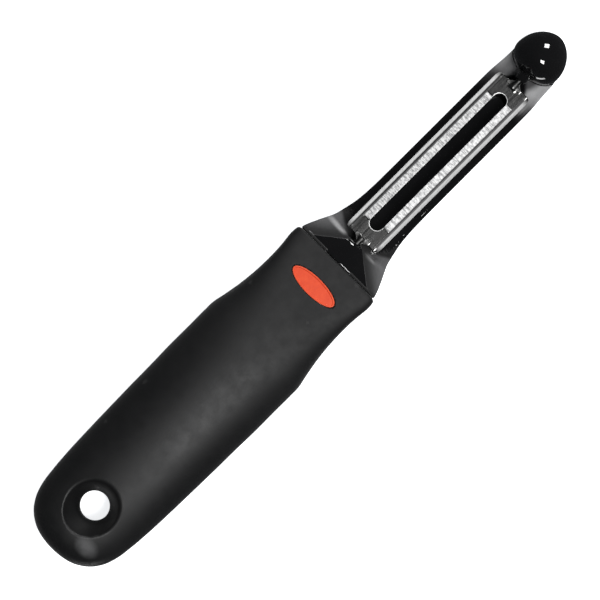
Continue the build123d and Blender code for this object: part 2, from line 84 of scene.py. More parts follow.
# ------------------------------------------------------------------ small maths
def curve(table, x):
    """Smooth value of a table, with no overshoot; x is an array."""
    xs = np.array([p[0] for p in table], float)
    ys = np.array([p[1] for p in table], float)
    h = np.diff(xs)
    d = np.diff(ys) / h
    m = np.zeros(len(xs))
    m[0], m[-1] = d[0], d[-1]
    for i in range(1, len(xs) - 1):
        if d[i - 1] * d[i] > 0:
            a, b = 2 * h[i] + h[i - 1], h[i] + 2 * h[i - 1]
            m[i] = (a + b) / (a / d[i - 1] + b / d[i])
    x = np.asarray(x, float)
    i = np.clip(np.searchsorted(xs, x, side="right") - 1, 0, len(h) - 1)
    t = np.clip((x - xs[i]) / h[i], 0, 1)
    return ((1 + 2 * t) * (1 - t) ** 2 * ys[i] + t * (1 - t) ** 2 * h[i] * m[i]
            + t * t * (3 - 2 * t) * ys[i + 1] + t * t * (t - 1) * h[i] * m[i + 1])


def mix(a, b, t):
    return a + (b - a) * t


def ease(t):
    t = np.clip(t, 0.0, 1.0)
    return t * t * (3 - 2 * t)


def smin(a, b, k):
    h = np.maximum(k - np.abs(a - b), 0) / k
    return np.minimum(a, b) - h * h * k / 4


def smax(a, b, k):
    return -smin(-a, -b, k)


def ellipse_d(x, y, a, b):
    k1 = np.sqrt((x / a) ** 2 + (y / b) ** 2) + 1e-9
    k2 = np.sqrt((x / a ** 2) ** 2 + (y / b ** 2) ** 2) + 1e-9
    return k1 * (k1 - 1) / k2


# ------------------------------------------------------------------ solid to mesh
def gradient(f, p, e=0.004):
    g = np.empty_like(p)
    for a in range(3):
        q = p.copy()
        q[:, a] += e
        r = p.copy()
        r[:, a] -= e
        g[:, a] = (f(q[:, 0], q[:, 1], q[:, 2]) - f(r[:, 0], r[:, 1], r[:, 2])) / (2 * e)
    return g


def skin(name, f, lo, hi, step):
    """A closed quad mesh of the surface f = 0 (inside is negative), all in mm. One vertex
    per cell that the surface crosses, moved onto the surface; normals come from f."""
    lo, step = np.array(lo, float), np.array(step, float)
    n = np.ceil((np.array(hi, float) - lo) / step).astype(int) + 1
    axes = [lo[a] + step[a] * np.arange(n[a]) for a in range(3)]
    F = np.empty(tuple(n))
    for i0 in range(0, n[0], 24):
        i1 = min(n[0], i0 + 24)
        X, Y, Z = np.meshgrid(axes[0][i0:i1], axes[1], axes[2], indexing="ij")
        F[i0:i1] = f(X, Y, Z)
    S = F < 0
    cells = np.zeros(tuple(n - 1), bool)
    first = S[:-1, :-1, :-1]
    for dx in (0, 1):
        for dy in (0, 1):
            for dz in (0, 1):
                cells |= S[dx:n[0] - 1 + dx, dy:n[1] - 1 + dy, dz:n[2] - 1 + dz] != first
    ci = np.argwhere(cells)
    index = -np.ones(tuple(n - 1), np.int64)
    index[cells] = np.arange(len(ci))
    total = np.zeros((len(ci), 3))
    count = np.zeros(len(ci))
    corners = [(a, b, c) for a in (0, 1) for b in (0, 1) for c in (0, 1)]
    value = {c: F[ci[:, 0] + c[0], ci[:, 1] + c[1], ci[:, 2] + c[2]] for c in corners}
    for c in corners:
        for a in range(3):
            if c[a]:
                continue
            e = list(c)
            e[a] = 1
            va, vb = value[c], value[tuple(e)]
            hit = (va < 0) != (vb < 0)
            t = va[hit] / (va[hit] - vb[hit])
            q = np.tile(np.array(c, float), (len(t), 1))
            q[:, a] += t
            total[hit] += q
            count[hit] += 1
    p = lo + (ci + total / count[:, None]) * step
    for _ in range(4):
        g = gradient(f, p)
        v = f(p[:, 0], p[:, 1], p[:, 2])
        d = -(v / (np.sum(g * g, axis=1) + 1e-9))[:, None] * g
        size = np.linalg.norm(d, axis=1, keepdims=True)
        p += d * np.minimum(1.0, 0.5 * step.min() / (size + 1e-12))
    quads = []
    for a in range(3):
        b, c = (a + 1) % 3, (a + 2) % 3
        lo_s, hi_s = [slice(None)] * 3, [slice(None)] * 3
        lo_s[a], hi_s[a] = slice(0, -1), slice(1, None)
        s0, s1 = S[tuple(lo_s)], S[tuple(hi_s)]
        at = np.argwhere(s0 != s1)
        keep = (at[:, b] > 0) & (at[:, c] > 0) & (at[:, b] < n[b] - 1) & (at[:, c] < n[c] - 1)
        at = at[keep]
        inside = s0[tuple(at.T)]
        ring = []
        for db, dc in ((-1, -1), (0, -1), (0, 0), (-1, 0)):
            q = at.copy()
            q[:, b] += db
            q[:, c] += dc
            ring.append(index[tuple(q.T)])
        ring = np.stack(ring, axis=1)
        ring[~inside] = ring[~inside][:, ::-1]
        quads.append(ring)
    quads = np.concatenate(quads)
    me = bpy.data.meshes.new(name)
    me.vertices.add(len(p))
    me.vertices.foreach_set("co", (p * 0.001).astype(np.float32).ravel())
    me.loops.add(quads.size)
    me.loops.foreach_set("vertex_index", quads.astype(np.int32).ravel())
    me.polygons.add(len(quads))
    me.polygons.foreach_set("loop_start", (np.arange(len(quads)) * 4).astype(np.int32))
    me.polygons.foreach_set("loop_total", np.full(len(quads), 4, np.int32))
    me.update(calc_edges=True)
    me.validate()
    me.polygons.foreach_set("use_smooth", np.ones(len(me.polygons), bool))
    g = gradient(f, p)
    g /= np.linalg.norm(g, axis=1, keepdims=True) + 1e-12
    if len(me.vertices) == len(g):
        me.normals_split_custom_set_from_vertices([tuple(v) for v in g])
    ob = bpy.data.objects.new(name, me)
    bpy.context.scene.collection.objects.link(ob)
    print(name, "vertices", len(me.vertices), "faces", len(me.polygons),
          "off surface", float(np.abs(f(p[:, 0], p[:, 1], p[:, 2])).max()))
    return ob


# ------------------------------------------------------------------ grip
def square(table):
    return [(x, v * v) for x, v in table]


GRIP_H2 = [(-95.16 - 3, -31.0), (-95.16, 0.0)] + square(GRIP_H)
GRIP_Q = [(x, float(curve(GRIP_H, x)) ** 2 / float(curve(GRIP_W, x)) ** 2) for x, _ in GRIP_W]


def grip_body(x, y, z):
    """Outer form of the grip, without its hole: a superellipse section on two profiles."""
    n = curve(GRIP_N, x)
    h2 = curve(GRIP_H2, x)
    q = np.sqrt(curve(GRIP_Q, x))
    v, w = np.abs(y) * q, np.abs(z - MID)
    big = np.maximum(np.maximum(v, w), 1e-6)
    r = big * ((v / big) ** n + (w / big) ** n) ** (1 / n)
    return (r * r - h2) / (2 * np.sqrt(np.maximum(np.maximum(r * r, h2), 4.0)))


def grip_top(x, y):
    n = curve(GRIP_N, x)
    a, b = curve(GRIP_W, x), curve(GRIP_H, x)
    return MID + b * np.maximum(1 - np.clip(np.abs(y) / a, 0, 1) ** n, 0) ** (1 / n)


DISH = [(0.0, 4.0), (1.0, 4.0), (1.5, 4.12), (2.2, 4.46), (4.0, 5.5), (5.6, 6.45), (7.2, 7.42),
        (8.5, 8.25), (14.0, 11.9)]


def hole_d(x, y, z):
    """Distance into the hanging hole's wall: straight at the waist, dished to each mouth."""
    rho = np.hypot(x - HOLE_X + 0.75 * ease((np.abs(z - MID) - 1.6) / 5.6), y)
    return (rho - curve(DISH, np.abs(z - MID))) * 0.86


BADGE_X, BADGE_A, BADGE_B = 2.65, 2.5, 7.35


def grip_form(x, y, z):
    f = grip_body(x, y, z)
    f = smax(f, x - (GRIP_FRONT - 0.05), 0.75)
    f = smax(f, -hole_d(x, y, z), mix(0.7, 0.35, ease((HOLE_X - 1.0 - x) / 4.0)))
    well = np.maximum(ellipse_d(x - BADGE_X, y, BADGE_A + 0.05, BADGE_B + 0.05),
                      grip_top(np.full_like(x, BADGE_X), y * 0) - 1.3 - z)
    return smax(f, -well, 0.22)


def badge_form(x, y, z):
    """Oval inlay: a low raised border round a slightly crowned field."""
    d = ellipse_d(x - BADGE_X, y, BADGE_A, BADGE_B)
    rim = ease((d + 0.56) / 0.2) * 0.15 - 0.05
    crown = 0.10 * np.clip(1 - ((x - BADGE_X) / BADGE_A) ** 2 - (y / BADGE_B) ** 2, 0, 1)
    top = z - (grip_top(x, y) + rim + crown)
    f = smax(top, d, 0.16)
    return np.maximum(f, grip_top(np.full_like(x, BADGE_X), y * 0) - 1.2 - z)


# ------------------------------------------------------------------ head frame
def lower_d(x, y, z):
    """The full back and the upright sides that the neck and bow share."""
    w, low, wide = curve(HEAD_W, x), curve(HEAD_LOW, x), curve(HEAD_WIDE_Z, x)
    w = w + 0.34 * ease((x - 12) / 7) * (1 - ease((x - 21) / 7)) + 0.09 * ease((x - 20) / 5)
    n = mix(5.5, 2.35, ease((x - GRIP_FRONT) / 9))
    v = np.abs(y) / w
    u = np.maximum(wide - z, 0) / (wide - low)
    big = np.maximum(np.maximum(u, v), 1e-6)
    r = big * ((v / big) ** n + (u / big) ** n) ** (1 / n)
    return (r - 1) * mix(w, (wide - low), ease(u * 1.2) * 0.6)


def head_form(x, y, z):
    ay = np.abs(y)
    tc = np.clip((x - GRIP_FRONT) / (CREST_X - GRIP_FRONT), 0, 1.3)
    wide = curve(HEAD_WIDE_Z, x)
    # tower that carries the near pivot: a slightly crowned facet between two rounded
    # flanks, which fall from the grip's square corners to the edges of the bow
    top = mix(16.7, BOSS, tc) - mix(0.80, 0.88, tc) * (1 - np.exp(-(ay / mix(4.0, 2.5, tc)) ** 2))
    facet = np.maximum(mix(11.1, 2.15, 0.22 * tc * tc + 0.78 * tc), 1.2)
    outer = curve(HEAD_W, x) + 0.9 * ease(tc)
    base = mix(wide + 1.0, np.full_like(x, FLOOR - 1.2), ease(tc))
    v = np.maximum((top - z) / (top - base), 0.0)
    vc = np.minimum(v, 1.0)
    g_round = np.clip(1 - (1 - vc) ** 2.3, 0, 1) ** (1 / 2.3)
    g_cone = (-0.32 + np.sqrt(0.1024 + 2.72 * v)) / 1.36
    half = facet + (outer - facet) * mix(g_round, g_cone, ease(1.25 * tc))
    side = (ay - half) * mix(1.0, 0.72, ease(tc))
    tower = smax(side, z - top, 0.5)
    # its end wall: crisp at the pivot, running out softly into the bow at both sides
    kx = mix(1.3, 6.0, ease((ay - 3.8) / 5.4))
    tower = smax(tower, x - (CREST_X + 0.20 * (kx - 0.8)), kx)
    # bow: an inner face that falls a little to both edges and turns up into the knob
    k = mix(0.7, 3.0, ease((ay - 4.0) / 4.0))
    m = np.clip(ay - 3.3, 0, 2.5)
    slant = np.clip(ay - 5.8, 0, np.minimum(curve(HEAD_W, x) - 6.6, 2.9))
    fall = (0.06 * m * m + 0.30 * slant) * (1 - ease((x - 77.5) / 3.0))
    over = smin((z - curve(BOW_TOP, x) + fall) * 0.97, tower, k)
    f = smax(over, lower_d(x, y, z), mix(0.35, 1.3, ease((x - 13.5) / 8)))
    f = np.maximum(f, x - 87.4)
    # knob: an egg on an axis parallel to X
    dx = x - KNOB_X
    back = 1 - (dx / KNOB_BACK) ** 2
    nose = 1 - (dx / KNOB_NOSE) ** 2
    nose = np.sign(nose) * np.abs(nose) ** 1.12
    p2 = np.where(dx < 0, back, nose)
    rho2 = (y - KNOB_Y) ** 2 + (z - KNOB_Z) ** 2
    egg = (rho2 - KNOB_R ** 2 * p2) / (2 * KNOB_R)
    f = smin(f, egg, 0.55)
    # collar on its back, round the far pivot
    rp = np.hypot(y, z - PIVOT)
    collar = smax(rp - (1.5 + 0.246 * np.clip(x - COLLAR_X - 0.25, 0, 3)), COLLAR_X - x, 0.5)
    f = smin(f, np.maximum(collar, x - 84.0), 0.6)
    # pivot holes
    near = np.maximum(rp - 0.92, np.abs(x - 16.1) - 3.2)
    far = np.maximum(rp - 0.92, np.abs(x - 82.3) - 3.8)
    f = smax(f, -np.minimum(near, far), 0.16)
    # rounded edge against the grip
    f = smax(f, (GRIP_FRONT + 0.02) - x, 0.55)
    return f


# ------------------------------------------------------------------ blade
T = 0.7
BX0, BX1 = 20.4, 77.9
SX0, SX1, SHW = 24.4, 74.0, 2.0
LIPS = ((25.4, 71.6, 1), (26.6, 72.8, -1))
BEND_Y, BEND_R, BEND_A, LEG = 4.41, 0.75, math.radians(70), 0.84


def sheet(y, z):
    """Distance from the middle line of the folded section, and the length along it."""
    ay = np.abs(y)
    # plate
    d1 = np.hypot(np.maximum(ay - BEND_Y, 0), z)
    s1 = np.minimum(ay, BEND_Y)
    # bend
    cy, cz = BEND_Y, -BEND_R
    a = np.clip(np.arctan2(ay - cy, z - cz), 0, BEND_A)
    py, pz = cy + BEND_R * np.sin(a), cz + BEND_R * np.cos(a)
    d2 = np.hypot(ay - py, z - pz)
    s2 = BEND_Y + BEND_R * a
    # leg
    ey, ez = cy + BEND_R * math.sin(BEND_A), cz + BEND_R * math.cos(BEND_A)
    uy, uz = math.cos(BEND_A), -math.sin(BEND_A)
    t = np.maximum((ay - ey) * uy + (z - ez) * uz, 0)
    d3 = np.hypot(ay - ey - uy * t, z - ez - uz * t)
    s3 = BEND_Y + BEND_R * BEND_A + t
    d, s = d1, s1
    s = np.where(d2 < d, s2, s)
    d = np.minimum(d, d2)
    s = np.where(d3 < d, s3, s)
    d = np.minimum(d, d3)
    return d, s


S_MAX = BEND_Y + BEND_R * BEND_A + LEG


def blade_form(x, y, z):
    zz = z - PIVOT
    d, s = sheet(y, zz)
    plate = d - T / 2
    # outline of the flat pattern, with round corners
    cx, hx = (BX0 + BX1) / 2, (BX1 - BX0) / 2
    rc = 1.9
    qx, qs = np.abs(x - cx) - (hx - rc), s - (S_MAX - rc)
    outline = np.hypot(np.maximum(qx, 0), np.maximum(qs, 0)) + np.minimum(np.maximum(qx, qs), 0) - rc
    f = smax(plate, outline, 0.2)
    # slot
    sx = np.clip(x, SX0 + SHW, SX1 - SHW)
    slot = np.hypot(x - sx, y) - SHW
    for x0, x1, side in LIPS:
        v = y * side
        # the ground lip: the sheet rises towards the slot and is ground to an edge
        fade = ease((x - x0) / 0.55) * ease((x1 - x) / 0.55)
        up = np.clip((4.1 - v) / (4.1 - SHW), 0, 1.1)
        lip_top = zz - (T / 2 + 0.62 * up * fade)
        lip_low = (T / 2 - 0.56 + 0.62 * up ** 1.2 * fade) - zz - 0.14
        lip = smax(lip_top * 0.96, lip_low * 0.96, 0.12)
        lip = np.maximum(lip, np.maximum(v - 4.4, 0.5 - v))
        lip = np.maximum(lip, np.maximum((x0 - 0.1) - x, x - (x1 + 0.1)))
        clear = np.maximum(np.maximum(v - 4.1, 0.5 - v), np.maximum(x0 - x, x - x1))
        f = np.where((v > 0) & (v < 4.1), np.maximum(f, -clear), f)
        f = smin(f, lip, 0.05)
    f = smax(f, -slot, 0.14)
    # rolled tangs, with fillets where they leave the plate
    rp = np.hypot(y, zz)
    near = smax(rp - 0.8, np.abs(x - 17.3) - 3.7, 0.3)
    far = smax(rp - 0.8, np.abs(x - 81.2) - 4.5, 0.3)
    tang = np.minimum(near, far)
    web = np.maximum(np.abs(zz) - T / 2,
                     np.minimum(smin(ay_web(x, y, BX0, -1), x * 0 + 9, 0.1),
                                smin(ay_web(x, y, BX1, 1), x * 0 + 9, 0.1)))
    return smin(smin(f, tang, 0.7), web, 0.2)


def ay_web(x, y, edge, out):
    """Plan of the web beside a tang: hollow sided, from 2.4 mm half width to the tang."""
    u = (x - edge) * out
    half = 0.75 + 1.5 * np.clip(1 - u / 1.5, 0, 1) ** 2.2
    return np.maximum(np.maximum(np.abs(y) - half, u - 1.5), -u - 0.8)


# ------------------------------------------------------------------ materials
class Nodes:
    """Short way to write a node tree."""

    def __init__(self, name):
        self.mat = bpy.data.materials.new(name)
        self.mat.use_nodes = True
        self.t = self.mat.node_tree
        self.t.nodes.clear()
        self.out = self.t.nodes.new("ShaderNodeOutputMaterial")
        self.b = self.t.nodes.new("ShaderNodeBsdfPrincipled")
        self.t.links.new(self.b.outputs[0], self.out.inputs[0])
        self.co = self.t.nodes.new("ShaderNodeTexCoord").outputs["Object"]

    def link(self, a, b):
        self.t.links.new(a, b)

    def scale(self, xyz):
        m = self.t.nodes.new("ShaderNodeMapping")
        m.inputs["Scale"].default_value = xyz
        self.link(self.co, m.inputs["Vector"])
        return m.outputs[0]

    def noise(self, size_mm, stretch=(1, 1, 1), detail=2.0, rough=0.5, distortion=0.0):
        n = self.t.nodes.new("ShaderNodeTexNoise")
        n.inputs["Scale"].default_value = 1.0
        n.inputs["Detail"].default_value = detail
        n.inputs["Roughness"].default_value = rough
        n.inputs["Distortion"].default_value = distortion
        k = 1000.0 / size_mm
        self.link(self.scale((k / stretch[0], k / stretch[1], k / stretch[2])), n.inputs["Vector"])
        return n.outputs["Fac"]

    def ramp(self, fac, stops):
        r = self.t.nodes.new("ShaderNodeValToRGB")
        el = r.color_ramp.elements
        while len(el) < len(stops):
            el.new(0.5)
        for e, (pos, col) in zip(el, stops):
            e.position = pos
            e.color = col if len(col) == 4 else (*col, 1)
        self.link(fac, r.inputs["Fac"])
        return r.outputs["Color"]

    def math(self, op, a, b=0.0, clamp=False):
        m = self.t.nodes.new("ShaderNodeMath")
        m.operation = op
        m.use_clamp = clamp
        for i, v in enumerate((a, b)):
            if isinstance(v, (int, float)):
                m.inputs[i].default_value = v
            else:
                self.link(v, m.inputs[i])
        return m.outputs[0]

    def range(self, fac, a, b, lo=0.0, hi=1.0):
        m = self.t.nodes.new("ShaderNodeMapRange")
        m.inputs["From Min"].default_value = lo
        m.inputs["From Max"].default_value = hi
        m.inputs["To Min"].default_value = a
        m.inputs["To Max"].default_value = b
        self.link(fac, m.inputs["Value"])
        return m.outputs[0]

    def mixc(self, fac, a, b, mode="MIX"):
        m = self.t.nodes.new("ShaderNodeMix")
        m.data_type = "RGBA"
        m.blend_type = mode
        for name, v in (("Factor", fac), ("A", a), ("B", b)):
            s = [i for i in m.inputs if i.name == name and i.type == ("VALUE" if name == "Factor" else "RGBA")][0]
            if isinstance(v, (int, float)):
                s.default_value = v
            elif isinstance(v, tuple):
                s.default_value = v if len(v) == 4 else (*v, 1)
            else:
                self.link(v, s)
        return [o for o in m.outputs if o.type == "RGBA"][0]

    def step(self, v, a, b):
        """Smooth 0 to 1 as v goes from a to b (either way round)."""
        m = self.t.nodes.new("ShaderNodeMapRange")
        m.interpolation_type = "SMOOTHSTEP"
        m.inputs["From Min"].default_value = min(a, b)
        m.inputs["From Max"].default_value = max(a, b)
        m.inputs["To Min"].default_value = 0.0 if a < b else 1.0
        m.inputs["To Max"].default_value = 1.0 if a < b else 0.0
        self.link(v, m.inputs["Value"])
        return m.outputs[0]

    def xyz(self):
        """The piece's own coordinates, in mm."""
        n = self.t.nodes.new("ShaderNodeSeparateXYZ")
        self.link(self.scale((1000, 1000, 1000)), n.inputs[0])
        return n.outputs[0], n.outputs[1], n.outputs[2]

    def sum(self, *terms):
        out = terms[0]
        for t in terms[1:]:
            out = self.math("ADD", out, t)
        return out

    def product(self, *terms):
        out = terms[0]
        for t in terms[1:]:
            out = self.math("MULTIPLY", out, t)
        return out

    def edge(self, lo, hi):
        """1 on rubbed convex edges, from the mesh's own curvature."""
        g = self.t.nodes.new("ShaderNodeNewGeometry")
        return self.range(g.outputs["Pointiness"], 0.0, 1.0, lo, hi)

    def bump(self, height, distance_mm, strength=1.0, base=None):
        b = self.t.nodes.new("ShaderNodeBump")
        b.inputs["Distance"].default_value = distance_mm * 0.001
        b.inputs["Strength"].default_value = strength
        self.link(height, b.inputs["Height"])
        if base is not None:
            self.link(base, b.inputs["Normal"])
        return b.outputs[0]

    def set(self, **values):
        for name, v in values.items():
            s = self.b.inputs[name.replace("_", " ")]
            if isinstance(v, (int, float)):
                s.default_value = v
            elif isinstance(v, tuple):
                s.default_value = v if len(v) == 4 or len(s.default_value) == 3 else (*v, 1)
            else:
                self.link(v, s)


def soft_touch():
    """Matte black elastomer: fine spark-eroded grain, faint handling polish and dust, and a painted highlight: a
    lighter patch on the top beside the hanging hole.
    """
    m = Nodes("soft_grip")
    grain = m.noise(0.22, detail=3, rough=0.6)
    fine = m.noise(0.09, detail=2)
    cloud = m.noise(14, detail=4, rough=0.55)
    patch = m.noise(3.2, detail=3, rough=0.6)
    col = m.ramp(cloud, [(0.30, (0.0040, 0.0041, 0.0044)), (0.72, (0.0058, 0.0058, 0.0061))])
    col = m.mixc(m.range(grain, 0.0, 0.22, 0.45, 0.8), col, (0.012, 0.012, 0.0122))
    col = m.mixc(m.math("MULTIPLY", m.edge(0.53, 0.60), 0.35), col, (0.030, 0.030, 0.0305))
    x, y, z = m.xyz()
    rough = m.sum(m.range(patch, 0.44, 0.53, 0.3, 0.7), m.product(m.step(x, -52.0, 4.0), 0.17))
    # painted highlight: a lighter patch on the top of the grip, beside the hanging hole towards the butt
    px, py = m.math("DIVIDE", m.math("ADD", x, 87.8), 2.1), m.math("DIVIDE", m.math("ADD", y, 6.3), 2.8)
    painted_highlight_patch = m.step(m.sum(m.product(px, px), m.product(py, py)), 2.1, -0.3)
    painted_highlight_patch = m.product(painted_highlight_patch, m.step(z, MID + 2.0, MID + 4.0), m.range(patch, 0.45, 0.75, 0.3, 0.7))
    col = m.mixc(painted_highlight_patch, col, (0.105, 0.105, 0.107))
    m.set(Base_Color=col, Roughness=rough, Specular_IOR_Level=0.335)
    m.set(Normal=m.bump(fine, 0.006, 0.6, m.bump(grain, 0.016, 0.7)))
    m.set(Sheen_Weight=0.09, Sheen_Roughness=0.35)
    return m.mat


def gloss_black():
    """Black moulding: polished on the knob and the flat facet, satin on the flanks and bow,
    with faint flow ripple, hairline scratches and handling smears. Painted reflection greys
    the outer flanks, and painted highlights lighten the ridge behind the near pivot and the
    ramp's corners before the knob."""
    m = Nodes("gloss_head")
    x, y, z = m.xyz()
    ay = m.math("ABSOLUTE", y)
    ripple = m.noise(5.5, detail=2)
    hair = m.noise(0.35, stretch=(12, 1, 1), detail=3, rough=0.65)
    smear = m.noise(9, detail=4, rough=0.6)
    pore = m.noise(0.25, detail=2)
    right = m.step(y, 0.5, -0.5)
    left = m.math("SUBTRACT", 1.0, right)
    ex = m.math("DIVIDE", m.math("SUBTRACT", x, KNOB_X), 5.6)
    ey = m.math("DIVIDE", m.math("SUBTRACT", y, KNOB_Y), 7.5)
    ez = m.math("DIVIDE", m.math("SUBTRACT", z, KNOB_Z), 7.5)
    r2 = m.sum(m.math("MULTIPLY", ex, ex), m.math("MULTIPLY", ey, ey), m.math("MULTIPLY", ez, ez))
    knob = m.math("MAXIMUM", m.step(r2, 1.09, 1.01), m.step(x, 86.5, 87.2))
    rise = m.math("SUBTRACT", ay, m.math("MULTIPLY", m.math("MAXIMUM", m.math("SUBTRACT", x, 79.5), 0.0), 0.35))
    # satin skin on the flanks of the neck, which starts past the facet's edge, and on the
    # ramp before the knob
    e = m.sum(m.math("MULTIPLY", x, 1.28), ay)
    run = m.math("SUBTRACT", x, m.math("MULTIPLY", m.math("SUBTRACT", ay, 5.0), 0.6))
    flank = m.product(m.step(e, 26.1, 29.6), m.step(run, 20.6, 19.3))
    broken = m.sum(x, m.range(pore, -1.5, 1.5, 0.3, 0.7), m.product(right, 1.2), m.product(m.step(ay, 6.8, 5.8), 1.8),
                   m.product(right, m.step(ay, 7.5, 8.2), -5.0))
    matt = m.product(m.step(m.sum(e, m.product(left, 0.55)), 25.6, 26.1), m.step(broken, 24.3, 24.1), m.step(x, 12.1, 12.5))
    matt = m.math("MAXIMUM", matt, m.product(m.step(x, 12.3, 12.05), m.step(ay, 3.8, 4.7)))
    # the ramp's satin stops short of a wedge round the far pivot, left black as painted shade of the blade's end
    wedge = m.sum(ay, m.math("MULTIPLY", m.math("MAXIMUM", m.math("SUBTRACT", x, 78.5), 0.0), 0.9))
    ramp = m.product(m.step(x, 71.0, 80.5), m.step(wedge, 3.1, 4.8), m.math("SUBTRACT", 1.0, knob))
    satin = m.math("MAXIMUM", flank, ramp)
    col = m.ramp(smear, [(0.3, (0.0034, 0.0034, 0.0037)), (0.8, (0.0052, 0.0051, 0.0054))])
    col = m.mixc(m.math("MULTIPLY", m.edge(0.54, 0.64), 0.2), col, (0.018, 0.018, 0.019))
    # painted highlight along the ridge where the neck's flanks meet its end wall, stronger on the +Y side
    ridge_painted_highlight = m.math("SUBTRACT", x, m.math("MULTIPLY", ay, 0.10))
    ridge_painted_highlight = m.product(m.step(ridge_painted_highlight, 16.9, 17.95), m.step(ridge_painted_highlight, 19.1, 18.15), m.step(ay, 2.4, 4.5),
                      m.range(m.step(ay, 10.5, 7.0), 0.5, 1.0))
    ridge_painted_highlight = m.product(ridge_painted_highlight, m.sum(m.product(left, 0.62), m.product(right, m.range(m.step(ay, 8.0, 6.0), 0.08, 0.26))))
    # painted reflection: the satin grey of the flanks grows lighter towards their outer edges
    outward_painted_reflection = m.product(m.step(e, 27.5, 33.5), 0.86)
    # painted highlight on the two corners of the ramp before the knob, each side shaped on its own
    ramp_painted_highlight = m.product(m.step(x, 76.0, 80.5),
                     m.sum(m.product(left, m.step(wedge, 3.8, 7.0), m.range(m.step(ay, 5.0, 7.2), 0.16, 0.44)),
                           m.product(right, m.step(rise, 2.3, 4.5), m.range(m.step(ay, 7.4, 5.0), 0.55, 1.0))))
    # grey tones: the satin's own dark grey, then a painted-reflection grey and a painted-highlight grey
    dull = m.ramp(pore, [(0.35, (0.015, 0.015, 0.0155)), (0.7, (0.022, 0.0217, 0.0225))])
    painted_reflection_grey = m.ramp(pore, [(0.35, (0.072, 0.072, 0.074)), (0.7, (0.092, 0.091, 0.094))])
    painted_highlight_grey = m.ramp(pore, [(0.35, (0.41, 0.41, 0.415)), (0.7, (0.49, 0.488, 0.493))])
    cloud = m.range(smear, 0.85, 1.1, 0.3, 0.7)
    # satin tone with the painted reflection and the painted highlights mixed in
    satin_and_painted_light = m.mixc(m.product(outward_painted_reflection, cloud), dull, painted_reflection_grey)
    satin_and_painted_light = m.mixc(m.product(m.math("MAXIMUM", ridge_painted_highlight, ramp_painted_highlight), cloud), satin_and_painted_light, painted_highlight_grey)
    col = m.mixc(satin, col, satin_and_painted_light)
    gloss = m.math("ADD", m.range(smear, 0.03, 0.075, 0.35, 0.75), m.range(hair, 0.0, 0.025, 0.55, 0.8))
    soft = m.math("ADD", m.range(smear, 0.62, 0.70, 0.35, 0.75), m.range(pore, 0.0, 0.05, 0.4, 0.7))
    flat = m.math("ADD", m.range(smear, 0.88, 0.93, 0.35, 0.75), m.range(pore, 0.0, 0.04, 0.4, 0.7))
    bare = m.math("SUBTRACT", 1.0, m.math("MAXIMUM", matt, ramp))
    rough = m.sum(m.product(gloss, bare), m.product(flat, matt), m.product(soft, ramp))
    m.set(Base_Color=col, Roughness=rough, Specular_IOR_Level=0.58)
    fine = m.bump(m.product(pore, satin), 0.004, 0.5)
    m.set(Normal=m.bump(hair, 0.0012, 0.35, m.bump(ripple, 0.010, 0.35, fine)))
    return m.mat


def core_plastic():
    """Plain hard plastic under the grip."""
    m = Nodes("core_plastic")
    n = m.noise(1.2, detail=4, rough=0.6)
    m.set(Base_Color=m.ramp(n, [(0.3, (0.02, 0.02, 0.021)), (0.8, (0.035, 0.035, 0.036))]),
          Roughness=m.range(n, 0.4, 0.55), Normal=m.bump(n, 0.01, 0.5))
    return m.mat


